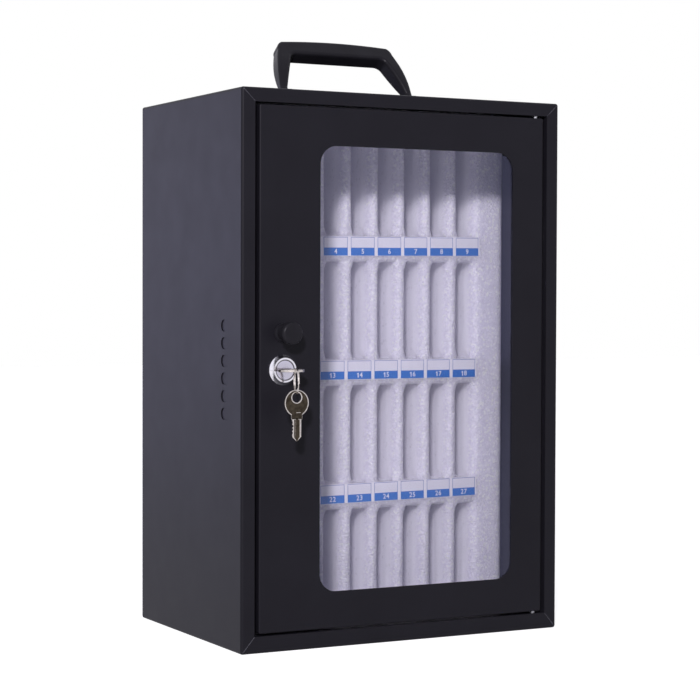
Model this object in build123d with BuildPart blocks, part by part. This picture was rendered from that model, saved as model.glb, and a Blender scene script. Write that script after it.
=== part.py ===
from build123d import *
from math import sin, cos, radians
import os

os.makedirs("parts", exist_ok=True)

# Row frame: X to the right, the door faces -Y, Z up, origin at the middle of the underside.

# Cabinet
case_w = 298.0
case_d = 208.0
case_h = 450.0
sheet = 1.2
bend_r = 2.2
side_flange = 11.7
top_flange = 11.3
bottom_flange = 13.6
lip_depth = 18.0
back_pan_depth = 12.0
back_pan_gap = 0.1
front_y = -case_d / 2

# Pressed ovals in the sides
oval_len = 16.0
oval_h = 9.5
oval_depth = 0.8
oval_pitch = 14.2
oval_count = 6
oval_behind_front = 31.5
oval_mid_lift = 0.5
oval_mid_z = case_h / 2 + oval_mid_lift

# Door
side_gap = 3.8
end_gap = 1.9
door_w = case_w - 2 * (side_flange + side_gap)
door_low = bottom_flange + end_gap
door_top = case_h - top_flange - end_gap
door_h = door_top - door_low
door_mid_z = (door_top + door_low) / 2
door_depth = 18.0
door_bend_r = 1.5
window_from_left = 54.1
window_from_right = 30.3
window_from_top = 30.8
window_from_bottom = 30.0
window_r = 15.0
window_w = door_w - window_from_left - window_from_right
window_h = door_h - window_from_top - window_from_bottom
window_x = (window_from_left - window_from_right) / 2
window_z = door_low + window_from_bottom + window_h / 2

# Pane, its clips, welded studs and nuts
pane_t = 2.0
pane_lap = 8.0
pane_r = 6.0
clip_t = 1.2
clip_w = 14.0
clip_foot = 11.0
clip_lap = 6.0
clip_from_corner = 70.25
clip_side_z = window_h / 2 - clip_from_corner
stud_r = 1.5
stud_len = 7.0
nut_af = 5.5
nut_h = 2.4
thread_gap = 0.05

# Door pivots
pivot_in = 5.3
pivot_back = 5.0
shoulder_r = 2.2
spigot_r = 1.5
spigot_end = 2.0
rivet_r = 3.6
rivet_h = 1.4
running = 0.06
pivot_gap = 0.03
pivot_x = door_w / 2 - pivot_in
pivot_y = front_y + pivot_back

# Knob
lock_from_left = 20.5
lock_drop = 0.25
lock_x = lock_from_left - door_w / 2
lock_z = door_mid_z - lock_drop
knob_rise = 29.5
knob_out = 20.0
knob_head_r = 9.0
knob_head_t = 7.5
knob_stem_r = 6.2
knob_foot_r = 7.4
knob_screw_r = 2.0
knob_screw_reach = 11.0

# Cam lock
bezel_r = 12.2
bezel_face_r = 9.9
bezel_rim = 1.2
bezel_out = 5.0
barrel_r = 8.0
barrel_flat = 14.0
barrel_len = 18.2
lock_nut_af = 20.0
lock_nut_t = 4.0
plug_r = 6.0
plug_head_r = 8.1
plug_head_t = 4.2
plug_sink = 0.4
plug_end_gap = 0.2
tail_sq = 6.0
cam_t = 2.0
cam_gap = 0.4
cam_reach = 31.0
cam_eye_r = 8.0
cam_tip_w = 12.0
cam_screw_r = 1.6
keyway_w = 8.2
keyway_t = 2.4
keyway_depth = 19.6
neck_slot_w = 10.4

# Keys
key_t = 2.0
key_bow_r = 10.5
key_hole_r = 4.0
key_rim = 2.2
key_neck_w = 9.6
key_neck_len = 4.9
key_bow_sink = 2.4
key_blade_w = 7.8
key_blade_len = 17.1
key_tooth_pitch = 2.9
key_teeth = 4
key_groove_w = 0.9
key_groove_step = 1.3
key_groove_deep = 0.35
key_sink = 1.9

# Ring that carries the spare key
ring_r = 9.9
wire_r = 0.75
ring_turn = 17.0
ring_gap = 0.15
spare_gap = 0.3

# Foam insert
foam_front = 84.5
slot_depth = 88.0
foam_side = 0.3
roof_space = 9.0
columns = 9
rows = 4
slot_w = 12.5
left_cheek = 40.35
right_cheek = 32.55
top_bar = 18.55
middle_bar = 23.0
base_bar = 15.75
rib_front_r = 3.0
foam_y = front_y + foam_front
slot_back_y = foam_y + slot_depth
foam_w = case_w - 2 * (sheet + foam_side)
foam_low = sheet + foam_side
foam_top = case_h - sheet - roof_space
column_pitch = (foam_w - left_cheek - right_cheek - slot_w) / (columns - 1)
column_mid_x = (left_cheek - right_cheek) / 2
slots_h = foam_top - foam_low - top_bar - base_bar - (rows - 1) * middle_bar
slot_h = slots_h / rows
row_pitch = slot_h + middle_bar
top_floor_z = foam_top - top_bar - slot_h

# Number strips
label_t = 0.5
label_h = 17.3
label_drop = 0.7
label_w = columns * column_pitch

# Handle
lean = 35.5
hinge_rise = 7.0
hub_r = 4.6
hub_t = 7.0
hub_x = 60.8
grip_t = 15.0
grip_top = 57.2
grip_end_top = 54.8
grip_low = 41.3
shoulder_x = 56.4
shoulder_up = 47.0
shoulder_round = 4.6
grip_crown_r = 560.0
leg_bulge_x = 61.8
leg_bulge_up = 27.0
leg_mid_half = 6.2
leg_mid_up = 16.0
leg_full_up = 40.0
inner_corner_x = 46.6
inner_round = 6.5
leg_waist_x = 53.0
leg_waist_up = 19.5
grip_round = 3.0
leg_inset = 0.2
leg_foot = 5.5
leg_foot_half = 4.2
bracket_base_t = 2.0
bracket_base_w = 30.0
bracket_base_d = 18.0
ear_t = 2.5
ear_gap = 0.3
ear_r = 4.7
handle_pin_r = 1.75
screw_r = 2.0
bracket_head_r = 3.4
bracket_head_h = 2.2
bolt_beyond = 5.0
bolt_nut_af = 7.0
bolt_nut_h = 3.2
bracket_screw_x = 45.0
bracket_screw_y = 5.0
hinge_z = case_h + hinge_rise


def hex_nut(across, thick, bore):
    with BuildPart() as nut:
        with BuildSketch(Plane.XY):
            RegularPolygon(across / 2, 6, major_radius=False)
            Circle(bore, mode=Mode.SUBTRACT)
        extrude(amount=thick)
    return nut.part


def pan_screw(head_r, head_h, shank_r, reach):
    # Head above the XY plane, shank below it, straight driver slot across the head.
    with BuildPart() as screw:
        Cylinder(head_r, head_h, align=(Align.CENTER, Align.CENTER, Align.MIN))
        chamfer(screw.edges().group_by(Axis.Z)[-1], head_h * 0.4)
        Cylinder(shank_r, reach, align=(Align.CENTER, Align.CENTER, Align.MAX))
        with Locations((0, 0, head_h)):
            Box(head_r * 2.2, 0.9, head_h, mode=Mode.SUBTRACT)
    return screw.part


# ---------------------------------------------------------------- folded cabinet
# The four folded panels are cut from one ring of sheet along the mitre planes, so that the
# front frame, its return lip and the walls meet corner to corner.
with BuildPart() as case_ring:
    with BuildSketch(Plane.XZ.offset(-case_d / 2)):
        with Locations((0, case_h / 2)):
            Rectangle(case_w, case_h)
    extrude(amount=case_d)
    fillet(
        case_ring.edges().filter_by(Axis.Y) + case_ring.faces().sort_by(Axis.Y)[0].edges(),
        bend_r,
    )
    with BuildSketch(Plane.XZ.offset(-case_d / 2)):
        with Locations((0, case_h / 2)):
            RectangleRounded(case_w - 2 * sheet, case_h - 2 * sheet, bend_r - sheet)
    extrude(amount=case_d - sheet, mode=Mode.SUBTRACT)
    open_mid = (case_h - top_flange + bottom_flange) / 2
    open_w = case_w - 2 * side_flange
    open_h = case_h - top_flange - bottom_flange
    with BuildSketch(Plane.XZ.offset(-front_y - lip_depth)):
        with Locations((0, open_mid)):
            Rectangle(open_w + 2 * sheet, open_h + 2 * sheet)
    extrude(amount=lip_depth - sheet)
    with BuildSketch(Plane.XZ.offset(-front_y)):
        with Locations((0, open_mid)):
            Rectangle(open_w, open_h)
    extrude(amount=-lip_depth, mode=Mode.SUBTRACT)
    # Six ovals pressed inwards on each side.
    for side in (-1, 1):
        with BuildSketch(Plane.YZ.offset(side * (case_w / 2 - sheet - oval_depth))):
            with Locations((front_y + oval_behind_front, oval_mid_z)):
                with GridLocations(0, oval_pitch, 1, oval_count):
                    SlotOverall(oval_len + 2 * oval_depth, oval_h + 2 * oval_depth)
        extrude(amount=side * oval_depth)
        with BuildSketch(Plane.YZ.offset(side * (case_w / 2 - oval_depth))):
            with Locations((front_y + oval_behind_front, oval_mid_z)):
                with GridLocations(0, oval_pitch, 1, oval_count):
                    SlotOverall(oval_len, oval_h)
        extrude(amount=side * 2 * oval_depth, mode=Mode.SUBTRACT)
    # Pivot holes in the upper and lower lips.
    with BuildSketch(Plane.XY.offset(bottom_flange - 2 * sheet)):
        with Locations((pivot_x, pivot_y)):
            Circle(spigot_r + running)
    extrude(amount=open_h + 4 * sheet, mode=Mode.SUBTRACT)
    # Bolt holes in the roof for the two handle brackets.
    with BuildSketch(Plane.XY.offset(case_h - 2 * sheet)):
        with GridLocations(2 * bracket_screw_x, 2 * bracket_screw_y, 2, 2):
            Circle(screw_r + thread_gap)
    extrude(amount=4 * sheet, mode=Mode.SUBTRACT)


def mitre(side, flange, edge_z):
    # Plane through an outer corner of the case and the matching corner of the door opening,
    # facing the roof or the floor that it bounds.
    up = 1 if edge_z > 0 else -1
    return Plane(
        origin=(side * case_w / 2, 0, edge_z),
        x_dir=(0, 1, 0),
        z_dir=(-side * flange, 0, up * side_flange),
    )


def cut_panel(planes, keeps):
    with BuildPart() as panel:
        add(case_ring.part)
        for plane, keep in zip(planes, keeps):
            split(bisect_by=plane, keep=keep)
    return panel.part


upper_left = mitre(-1, top_flange, case_h)
upper_right = mitre(1, top_flange, case_h)
lower_left = mitre(-1, bottom_flange, 0)
lower_right = mitre(1, bottom_flange, 0)

with BuildPart() as side_panel_left:
    add(cut_panel((upper_left, lower_left), (Keep.BOTTOM, Keep.BOTTOM)))

with BuildPart() as side_panel_right:
    add(cut_panel((upper_right, lower_right), (Keep.BOTTOM, Keep.BOTTOM)))

with BuildPart() as top_panel:
    add(cut_panel((upper_left, upper_right), (Keep.TOP, Keep.TOP)))

with BuildPart() as bottom_panel:
    add(cut_panel((lower_left, lower_right), (Keep.TOP, Keep.TOP)))

# Back panel: a shallow pan set inside the ring and spot-welded along its flanges.
with BuildPart() as back_panel:
    pan_w = case_w - 2 * (sheet + back_pan_gap)
    pan_h = case_h - 2 * (sheet + back_pan_gap)
    with BuildSketch(Plane.XZ.offset(-case_d / 2)):
        with Locations((0, case_h / 2)):
            RectangleRounded(pan_w, pan_h, bend_r)
    extrude(amount=back_pan_depth)
    fillet(back_panel.faces().sort_by(Axis.Y)[-1].edges(), bend_r - 0.6)
    with BuildSketch(Plane.XZ.offset(-case_d / 2 + sheet)):
        with Locations((0, case_h / 2)):
            RectangleRounded(pan_w - 2 * sheet, pan_h - 2 * sheet, bend_r - sheet)
    extrude(amount=back_pan_depth, mode=Mode.SUBTRACT)

# ---------------------------------------------------------------- foam insert
# Cut from white foam: a back pad, full-width bars between the rows and ribs between the slots.
with BuildPart() as foam_back_pad:
    pad_w = foam_w - 2 * (sheet + back_pan_gap + foam_side)
    pad_low = foam_low + sheet + back_pan_gap + foam_side
    pad_back = case_d / 2 - sheet - foam_side
    with BuildSketch(Plane.XZ.offset(-pad_back)):
        with Locations((0, (foam_top + pad_low) / 2)):
            Rectangle(pad_w, foam_top - pad_low)
    extrude(amount=pad_back - slot_back_y)


def foam_bar(low, top):
    with BuildPart() as bar:
        with BuildSketch(Plane.XZ.offset(-slot_back_y)):
            with Locations((0, (low + top) / 2)):
                Rectangle(foam_w, top - low)
        extrude(amount=slot_depth)
    return bar.part


def floor_z(row):
    return top_floor_z - row * row_pitch


with BuildPart() as foam_bar_top:
    add(foam_bar(floor_z(0) + slot_h, foam_top))

with BuildPart() as foam_bar_1:
    add(foam_bar(floor_z(1) + slot_h, floor_z(0)))

with BuildPart() as foam_bar_2:
    add(foam_bar(floor_z(2) + slot_h, floor_z(1)))

with BuildPart() as foam_bar_3:
    add(foam_bar(floor_z(3) + slot_h, floor_z(2)))

with BuildPart() as foam_bar_base:
    add(foam_bar(foam_low, floor_z(3)))


def rib_row(row):
    # Eight ribs between the nine slots and a wide cheek at each end; front edges rounded.
    first = column_mid_x - (columns - 1) / 2 * column_pitch
    low = floor_z(row)
    left_w = first - slot_w / 2 + foam_w / 2
    last = first + (columns - 1) * column_pitch
    right_w = foam_w / 2 - last - slot_w / 2
    with BuildPart() as ribs:
        with BuildSketch(Plane.XY.offset(low)):
            with Locations((0, slot_back_y)):
                for gap in range(columns - 1):
                    with Locations((first + (gap + 0.5) * column_pitch, 0)):
                        Rectangle(column_pitch - slot_w, slot_depth, align=(Align.CENTER, Align.MAX))
                with Locations((-foam_w / 2, 0)):
                    Rectangle(left_w, slot_depth, align=(Align.MIN, Align.MAX))
                with Locations((foam_w / 2, 0)):
                    Rectangle(right_w, slot_depth, align=(Align.MAX, Align.MAX))
        extrude(amount=slot_h)
        front_edges = ribs.edges().filter_by(Axis.Z).group_by(Axis.Y)[0]
        fillet(front_edges.sort_by(Axis.X)[1:-1], rib_front_r)
    return ribs.part


with BuildPart() as foam_ribs_1:
    add(rib_row(0))

with BuildPart() as foam_ribs_2:
    add(rib_row(1))

with BuildPart() as foam_ribs_3:
    add(rib_row(2))

with BuildPart() as foam_ribs_4:
    add(rib_row(3))


def label_strip(row):
    top = floor_z(row) - label_drop
    low = max(top - label_h, foam_low + label_drop)
    with BuildPart() as strip:
        with BuildSketch(Plane.XZ.offset(-foam_y)):
            with Locations((column_mid_x, (top + low) / 2)):
                Rectangle(label_w, top - low)
        extrude(amount=label_t)
    return strip.part


with BuildPart() as label_strip_1:
    add(label_strip(0))

with BuildPart() as label_strip_2:
    add(label_strip(1))

with BuildPart() as label_strip_3:
    add(label_strip(2))

with BuildPart() as label_strip_4:
    add(label_strip(3))

# ---------------------------------------------------------------- door
door_back = front_y + sheet
with BuildPart() as door_panel:
    with BuildSketch(Plane.XZ.offset(-front_y - door_depth)):
        with Locations((0, door_mid_z)):
            RectangleRounded(door_w, door_h, door_bend_r)
    extrude(amount=door_depth)
    fillet(door_panel.faces().sort_by(Axis.Y)[0].edges(), door_bend_r - 0.2)
    with BuildSketch(Plane.XZ.offset(-front_y - door_depth)):
        with Locations((0, door_mid_z)):
            RectangleRounded(door_w - 2 * sheet, door_h - 2 * sheet, door_bend_r - sheet)
    extrude(amount=door_depth - sheet, mode=Mode.SUBTRACT)
    # Window, lock hole with two flats, knob screw hole.
    with BuildSketch(Plane.XZ.offset(-front_y)):
        with Locations((window_x, window_z)):
            RectangleRounded(window_w, window_h, window_r)
        with Locations((lock_x, lock_z + knob_rise)):
            Circle(knob_screw_r + thread_gap)
    extrude(amount=-2 * sheet, mode=Mode.SUBTRACT)
    with BuildSketch(Plane.XZ.offset(-front_y)):
        with Locations((lock_x, lock_z)):
            Circle(barrel_r + thread_gap)
        with Locations((lock_x, lock_z)):
            Rectangle(barrel_flat + 2 * thread_gap, 3 * barrel_r, mode=Mode.INTERSECT)
    extrude(amount=-2 * sheet, mode=Mode.SUBTRACT)
    # Holes for the riveted pivots in the upper and lower flanges.
    with BuildSketch(Plane.XY.offset(door_low - sheet)):
        with Locations((pivot_x, pivot_y)):
            Circle(shoulder_r + thread_gap / 2)
    extrude(amount=door_h + 2 * sheet, mode=Mode.SUBTRACT)

with BuildPart() as window_pane:
    with BuildSketch(Plane.XZ.offset(-door_back)):
        with Locations((window_x, window_z)):
            RectangleRounded(window_w + 2 * pane_lap, window_h + 2 * pane_lap, pane_r)
    extrude(amount=-pane_t)

# Six Z-shaped clips hold the pane: two on each upright, one above and one below.
with BuildPart() as one_clip:
    # Local frame: X away from the window, Z away from the door's inner face.
    with BuildSketch(Plane.XZ):
        with BuildLine():
            Polyline(
                (clip_foot + 0.6, 0),
                (clip_foot + 0.6, clip_t),
                (0.6 + clip_t, clip_t),
                (0.6 + clip_t, pane_t + clip_t),
                (-clip_lap, pane_t + clip_t),
                (-clip_lap, pane_t),
                (0.6, pane_t),
                (0.6, 0),
                close=True,
            )
        make_face()
    extrude(amount=clip_w / 2, both=True)
    with Locations((clip_foot / 2 + 0.6 + clip_t / 2, 0, 0)):
        Cylinder(stud_r + 0.1, 3 * clip_t, mode=Mode.SUBTRACT)

pane_half_w = window_w / 2 + pane_lap
pane_half_h = window_h / 2 + pane_lap
# The door's inner face seen from behind: local X runs along +X, local Z along +Y.
inner_face = Plane(origin=(0, door_back, 0), x_dir=(1, 0, 0), z_dir=(0, 1, 0))
clip_places = [
    inner_face.location * Location((window_x + side * pane_half_w, -window_z + lift, 0))
    * Rotation(0, 0, 0 if side > 0 else 180)
    for side in (-1, 1)
    for lift in (-clip_side_z, clip_side_z)
] + [
    inner_face.location * Location((window_x, -window_z - up * pane_half_h, 0))
    * Rotation(0, 0, -90 * up)
    for up in (-1, 1)
]
stud_x = clip_foot / 2 + 0.6 + clip_t / 2

with BuildPart() as pane_clips:
    for place in clip_places:
        add(one_clip.part.moved(place))

with BuildPart() as clip_studs:
    for place in clip_places:
        with Locations(place * Location((stud_x, 0, 0))):
            Cylinder(stud_r, stud_len, align=(Align.CENTER, Align.CENTER, Align.MIN))

with BuildPart() as clip_nuts:
    clip_nut = hex_nut(nut_af, nut_h, stud_r + thread_gap)
    for place in clip_places:
        add(clip_nut.moved(place * Location((stud_x, 0, clip_t))))


def pivot(up):
    # Riveted pivot: head inside the door flange, shoulder across the gap, spigot in the lip.
    edge = door_top if up > 0 else door_low
    with BuildPart() as pin:
        with Locations((0, 0, -sheet - rivet_h)):
            Cylinder(rivet_r, rivet_h, align=(Align.CENTER, Align.CENTER, Align.MIN))
        chamfer(pin.edges().group_by(Axis.Z)[0], rivet_h * 0.4)
        with Locations((0, 0, -sheet)):
            Cylinder(shoulder_r, sheet + end_gap - pivot_gap,
                     align=(Align.CENTER, Align.CENTER, Align.MIN))
        Cylinder(spigot_r, end_gap + sheet + spigot_end,
                 align=(Align.CENTER, Align.CENTER, Align.MIN))
        chamfer(pin.edges().group_by(Axis.Z)[-1], 0.4)
    turn = Rotation(0, 0, 0) if up > 0 else Rotation(180, 0, 0)
    return pin.part.moved(Location((pivot_x, pivot_y, edge)) * turn)


with BuildPart() as pivot_upper:
    add(pivot(1))

with BuildPart() as pivot_lower:
    add(pivot(-1))

# ---------------------------------------------------------------- knob
outward = Plane(origin=(lock_x, front_y, lock_z), x_dir=(1, 0, 0), z_dir=(0, -1, 0))
knob_seat = outward.location * Location((0, knob_rise, 0))
with BuildPart() as knob_body:
    with BuildSketch(Plane.XZ):
        with BuildLine():
            Polyline((0, 0), (knob_foot_r, 0), (knob_foot_r, 1.2), (knob_stem_r, 3.2))
            Line((knob_stem_r, 3.2), (knob_stem_r, knob_out - knob_head_t))
            Line((knob_stem_r, knob_out - knob_head_t),
                 (knob_head_r, knob_out - knob_head_t + 1.6))
            Line((knob_head_r, knob_out - knob_head_t + 1.6), (knob_head_r, knob_out - 2.2))
            ThreePointArc((knob_head_r, knob_out - 2.2),
                          (knob_head_r - 1.0, knob_out - 0.7), (knob_head_r - 2.8, knob_out - 0.2))
            Line((knob_head_r - 2.8, knob_out - 0.2), (0, knob_out))
            Line((0, knob_out), (0, 0))
        make_face()
    revolve(axis=Axis.Z)
    Cylinder(knob_screw_r + thread_gap, knob_screw_reach,
             align=(Align.CENTER, Align.CENTER, Align.MIN), mode=Mode.SUBTRACT)

with BuildPart() as door_knob:
    add(knob_body.part.moved(knob_seat))

with BuildPart() as knob_screw:
    add(
        pan_screw(3.8, 2.4, knob_screw_r, knob_screw_reach - 1 + sheet).moved(
            knob_seat * Location((0, 0, -sheet)) * Rotation(180, 0, 0)
        )
    )

# ---------------------------------------------------------------- cam lock
with BuildPart() as housing_body:
    # Local Z points out of the door; 0 is the door's front face.
    with BuildSketch(Plane.XZ):
        with BuildLine():
            Polyline((0, -barrel_len), (barrel_r, -barrel_len), (barrel_r, 0), (bezel_r, 0),
                     (bezel_r, bezel_rim))
            ThreePointArc((bezel_r, bezel_rim), (bezel_face_r + 0.9, bezel_out - 1.7),
                          (bezel_face_r, bezel_out))
            Polyline((bezel_face_r, bezel_out), (0, bezel_out), (0, -barrel_len))
        make_face()
    revolve(axis=Axis.Z)
    with BuildSketch(Plane.XY.offset(-barrel_len)):
        Rectangle(4 * barrel_r, 4 * barrel_r)
        Rectangle(barrel_flat, 4 * barrel_r, mode=Mode.SUBTRACT)
    extrude(amount=barrel_len, mode=Mode.SUBTRACT)
    with BuildSketch(Plane.XY.offset(-barrel_len)):
        Circle(plug_r + running)
    extrude(amount=barrel_len + bezel_out, mode=Mode.SUBTRACT)
    with BuildSketch(Plane.XY.offset(bezel_out)):
        Circle(plug_head_r + running)
    extrude(amount=-plug_sink - plug_head_t - plug_end_gap, mode=Mode.SUBTRACT)

with BuildPart() as lock_housing:
    add(housing_body.part.moved(outward.location))

with BuildPart() as lock_nut:
    add(
        hex_nut(lock_nut_af, lock_nut_t, barrel_r + thread_gap).moved(
            outward.location * Location((0, 0, -sheet - lock_nut_t))
        )
    )

plug_face = bezel_out - plug_sink
cam_front = -lip_depth - cam_gap - 0.2
with BuildPart() as plug_body:
    with Locations((0, 0, plug_face)):
        Cylinder(plug_head_r, plug_head_t, align=(Align.CENTER, Align.CENTER, Align.MAX))
        Cylinder(plug_r, plug_face - cam_front, align=(Align.CENTER, Align.CENTER, Align.MAX))
    chamfer(plug_body.edges().group_by(Axis.Z)[-1], 0.3)
    with Locations((0, 0, cam_front)):
        Box(tail_sq, tail_sq, cam_t - 0.1, align=(Align.CENTER, Align.CENTER, Align.MAX))
    # Wide mouth for the key's neck, then the keyway for its blade.
    with Locations((0, 0, plug_face)):
        Box(neck_slot_w, keyway_t, key_sink + 0.1,
            align=(Align.CENTER, Align.CENTER, Align.MAX), mode=Mode.SUBTRACT)
        Box(keyway_w, keyway_t, keyway_depth,
            align=(Align.CENTER, Align.CENTER, Align.MAX), mode=Mode.SUBTRACT)
    with Locations((0, 0, cam_front - cam_t)):
        Cylinder(cam_screw_r + thread_gap, 3.2,
                 align=(Align.CENTER, Align.CENTER, Align.MIN), mode=Mode.SUBTRACT)

with BuildPart() as lock_plug:
    add(plug_body.part.moved(outward.location))

with BuildPart() as cam_body:
    # Points down from the lock's axis at rest; turned a quarter it reaches behind the lip.
    with BuildSketch(Plane.XY.offset(cam_front - cam_t)):
        Circle(cam_eye_r)
        with BuildLine():
            Polyline((-cam_eye_r + 0.2, 0), (cam_eye_r - 0.2, 0), (cam_tip_w / 2, -cam_eye_r - 4),
                     (cam_tip_w / 2, -cam_reach), (-cam_tip_w / 2, -cam_reach),
                     (-cam_tip_w / 2, -cam_eye_r - 4), close=True)
        make_face()
        Rectangle(tail_sq + 2 * thread_gap, tail_sq + 2 * thread_gap, mode=Mode.SUBTRACT)
    extrude(amount=cam_t)
    fillet(cam_body.edges().filter_by(Axis.Z).group_by(Axis.Y)[0], 2.5)

with BuildPart() as lock_cam:
    add(cam_body.part.moved(outward.location))

with BuildPart() as cam_screw:
    add(
        pan_screw(4.6, 2.2, cam_screw_r, 2.9).moved(
            outward.location * Location((0, 0, cam_front - cam_t)) * Rotation(180, 0, 0)
        )
    )

# ---------------------------------------------------------------- keys and ring
with BuildPart() as key_blank:
    # Local X runs from the shoulder to the tip, bow on the other side, flat in XY.
    bow_x = -key_neck_len - key_bow_r + key_bow_sink
    with BuildSketch(Plane.XY):
        with Locations((bow_x, 0)):
            Circle(key_bow_r)
        with Locations((0, 0)):
            Rectangle(key_neck_len + 2, key_neck_w, align=(Align.MAX, Align.CENTER))
        with BuildLine():
            Polyline((-1, -key_blade_w / 2), (key_blade_len - 3, -key_blade_w / 2),
                     (key_blade_len, -0.4), (key_blade_len, 0.4),
                     (key_blade_len - 2, key_blade_w / 2), (-1, key_blade_w / 2), close=True)
        make_face()
        with Locations((bow_x - key_bow_r + key_rim + key_hole_r, 0)):
            Circle(key_hole_r, mode=Mode.SUBTRACT)
        # Cuts along one edge, deeper and shallower by turns.
        for cut in range(key_teeth):
            deep = 1.1 + 0.75 * (cut * 2 % 3) / 2
            with Locations((2.6 + cut * key_tooth_pitch, -key_blade_w / 2)):
                with BuildLine():
                    Polyline((-1.25, -0.1), (1.25, -0.1), (0.45, deep), (-0.45, deep), close=True)
                make_face(mode=Mode.SUBTRACT)
    extrude(amount=key_t / 2, both=True)
    for face in (-1, 1):
        for step in (-1, 1):
            with Locations((0.2, 0.9 + step * key_groove_step, face * key_t / 2)):
                Box(key_blade_len, key_groove_w, 2 * key_groove_deep,
                    align=(Align.MIN, Align.CENTER, Align.CENTER), mode=Mode.SUBTRACT)

bow_end = key_neck_len + 2 * key_bow_r - key_bow_sink
key_stop_y = front_y - plug_face + key_sink
key_seat = Plane(origin=(lock_x, key_stop_y, lock_z), x_dir=(0, 1, 0), z_dir=(0, 0, 1))
with BuildPart() as key_in_lock:
    add(key_blank.part.moved(key_seat.location))

# The ring passes down through the bow's hole and round its rim; its plane is turned a little.
ring_dir = Vector(sin(radians(ring_turn)), cos(radians(ring_turn)), 0)
rim_y = key_stop_y - bow_end + key_rim / 2
ring_top_z = lock_z + key_t / 2 + wire_r + ring_gap
ring_mid = Vector(lock_x, rim_y, ring_top_z - ring_r)
ring_plane = Plane(origin=ring_mid, x_dir=ring_dir, z_dir=ring_dir.cross(Vector(0, 0, 1)))
with BuildPart() as ring_body:
    Torus(ring_r, wire_r)

with BuildPart() as key_ring:
    add(ring_body.part.moved(ring_plane.location))

spare_hang_z = ring_top_z - 2 * ring_r
spare_shoulder_z = spare_hang_z + wire_r + spare_gap + key_rim - bow_end
spare_plane = Plane(
    origin=(lock_x, rim_y, spare_shoulder_z), x_dir=(0, 0, -1), z_dir=(0, -1, 0)
)
with BuildPart() as spare_key:
    add(key_blank.part.moved(spare_plane.location))

# ---------------------------------------------------------------- carrying handle
lean_out = Vector(0, -cos(radians(lean)), sin(radians(lean)))
hinge_mid = Vector(0, 0, hinge_z)
grip_plane = Plane(origin=hinge_mid, x_dir=(1, 0, 0), z_dir=lean_out)
hub_out = hub_x + hub_t / 2
hub_in = hub_x - hub_t / 2
leg_out = hub_out - leg_inset
leg_in = hub_in + leg_inset
# Half of the outline from the left hub over the top; the other half mirrors it.
with BuildPart() as grip:
    with BuildSketch(Plane.XY):
        with BuildLine():
            Polyline((-leg_in, leg_foot), (-leg_in, 0), (-leg_out, 0), (-leg_out, leg_foot))
            ThreePointArc((-leg_out, leg_foot), (-leg_bulge_x, leg_bulge_up),
                          (-shoulder_x, shoulder_up))
            ThreePointArc((-shoulder_x, shoulder_up),
                          (-shoulder_x + 0.28 * shoulder_round, shoulder_up + shoulder_round),
                          (-shoulder_x + shoulder_round, grip_end_top))
            RadiusArc((-shoulder_x + shoulder_round, grip_end_top), (0, grip_top), grip_crown_r)
            Polyline((0, grip_top), (0, grip_low), (-inner_corner_x + inner_round, grip_low))
            ThreePointArc((-inner_corner_x + inner_round, grip_low),
                          (-inner_corner_x + 0.4 * inner_round, grip_low - 0.18 * inner_round),
                          (-inner_corner_x, grip_low - 0.7 * inner_round))
            ThreePointArc((-inner_corner_x, grip_low - 0.7 * inner_round),
                          (-leg_waist_x, leg_waist_up), (-leg_in, leg_foot))
        make_face()
        mirror(about=Plane.YZ)
    extrude(amount=grip_t, both=True)
    # Seen from the end: slim at the hub, widening up the leg to the full grip.
    with BuildSketch(Plane(origin=(0, 0, 0), x_dir=(0, 0, 1), z_dir=(-1, 0, 0))):
        with BuildLine():
            Polyline((leg_foot_half, leg_foot), (leg_foot_half, 0), (0, 0))
            ThreePointArc((leg_foot_half, leg_foot), (leg_mid_half, leg_mid_up),
                          (grip_t / 2, leg_full_up))
            Polyline((grip_t / 2, leg_full_up), (grip_t / 2, 2 * grip_top), (0, 2 * grip_top), (0, 0))
        make_face()
        mirror(about=Plane.YZ)
    extrude(amount=2 * hub_out, both=True, mode=Mode.INTERSECT)
    fillet(grip.edges().filter_by(lambda edge: edge.center().Y > 0.5), grip_round)
    for side in (-1, 1):
        with Locations(Location((side * hub_x, 0, 0), (0, 90, 0))):
            Cylinder(hub_r, hub_t)
            Cylinder(handle_pin_r + running, 2 * hub_t, mode=Mode.SUBTRACT)

with BuildPart() as handle:
    add(grip.part.moved(grip_plane.location))


def bracket(side):
    with BuildPart() as holder:
        with BuildSketch(Plane.XY.offset(case_h)):
            with Locations((side * (hub_x + 8 - bracket_base_w / 2), 0)):
                RectangleRounded(bracket_base_w, bracket_base_d, 4)
        extrude(amount=bracket_base_t)
        for place in (hub_out + ear_gap, hub_in - ear_gap - ear_t):
            with BuildSketch(Plane.YZ.offset(side * place)):
                with Locations((0, hinge_z)):
                    Circle(ear_r)
                with Locations((0, case_h)):
                    Rectangle(2 * ear_r, hinge_rise, align=(Align.CENTER, Align.MIN))
            extrude(amount=side * ear_t)
        with BuildSketch(Plane.YZ.offset(side * hub_x)):
            with Locations((0, hinge_z)):
                Circle(handle_pin_r + thread_gap / 2)
        extrude(amount=2 * hub_t, both=True, mode=Mode.SUBTRACT)
        with BuildSketch(Plane.XY.offset(case_h)):
            with Locations((side * bracket_screw_x, -bracket_screw_y),
                           (side * bracket_screw_x, bracket_screw_y)):
                Circle(screw_r + thread_gap)
        extrude(amount=2 * bracket_base_t, mode=Mode.SUBTRACT)
    return holder.part


def bracket_pin(side):
    reach = hub_t + 2 * (ear_gap + ear_t) + 1.6
    with BuildPart() as pin:
        with Locations(Location((side * hub_x, 0, hinge_z), (0, 90, 0))):
            Cylinder(handle_pin_r, reach)
        chamfer(pin.edges().filter_by(GeomType.CIRCLE), 0.5)
    return pin.part


with BuildPart() as bracket_left:
    add(bracket(-1))

with BuildPart() as bracket_right:
    add(bracket(1))

with BuildPart() as handle_pin_left:
    add(bracket_pin(-1))

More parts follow.
